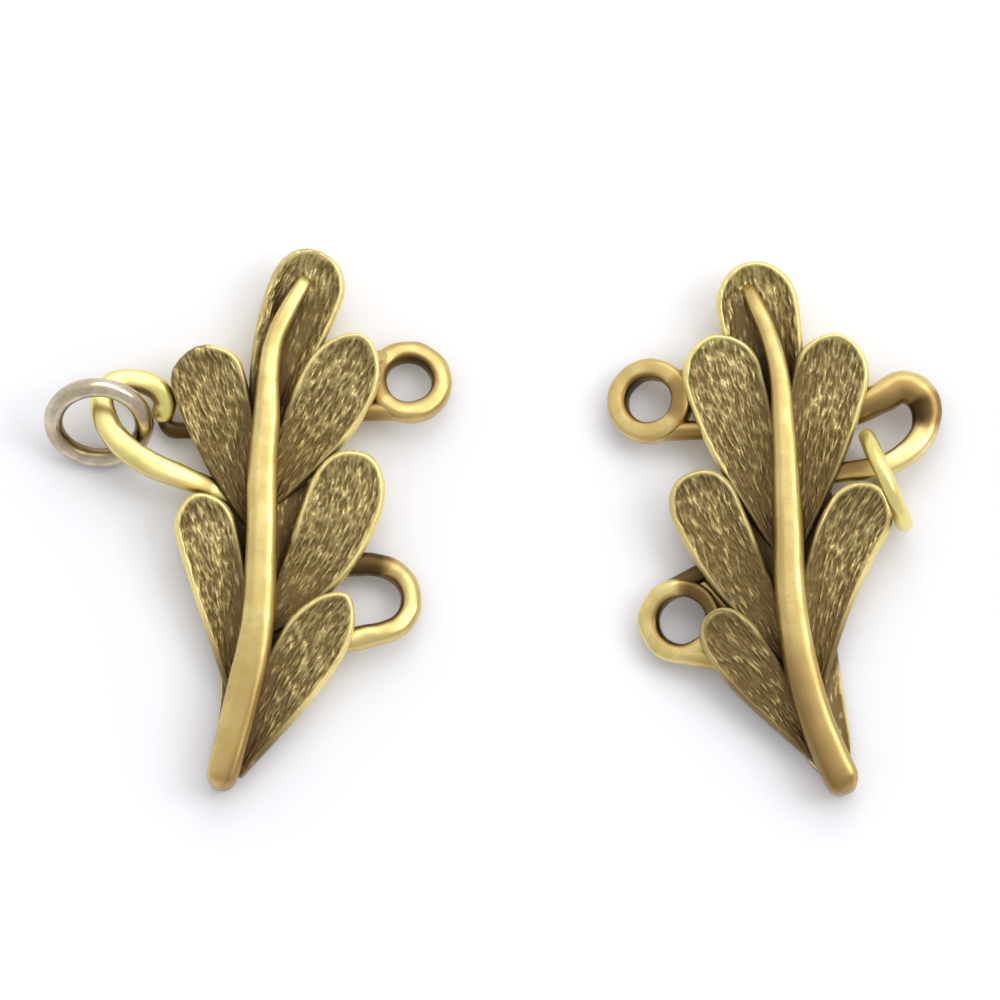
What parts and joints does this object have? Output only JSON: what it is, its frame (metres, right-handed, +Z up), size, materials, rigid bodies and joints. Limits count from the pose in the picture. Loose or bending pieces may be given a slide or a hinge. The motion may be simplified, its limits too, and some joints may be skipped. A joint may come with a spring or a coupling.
{
  "type": "necklace clasp",
  "caption": "Leaf-shaped necklace clasp in antique gold tone: cast leaf halves with strand eyes, closure loops and jump rings, lying unfastened.",
  "frame": {"origin": "centre of the clasp's footprint, on the surface it lies on", "axes": "+X from the left leaf to the right leaf, +Y towards the leaves' tips, +Z up, away from their backs"},
  "size_m": [0.0376, 0.0232, 0.0047],
  "materials": {
    "antique_gold_cast": "antiqued cast brass, engraved lobes with brown patina and polished rims, ribs, eyes and loops",
    "grey_ring": "satin silver-grey plated wire",
    "gold_ring": "polished gold-plated wire"
  },
  "bodies": {
    "root": {"left_leaf": "antique_gold_cast", "right_leaf": "antique_gold_cast", "grey_jump_ring": "grey_ring", "gold_jump_ring": "gold_ring"}
  },
  "joints": []
}
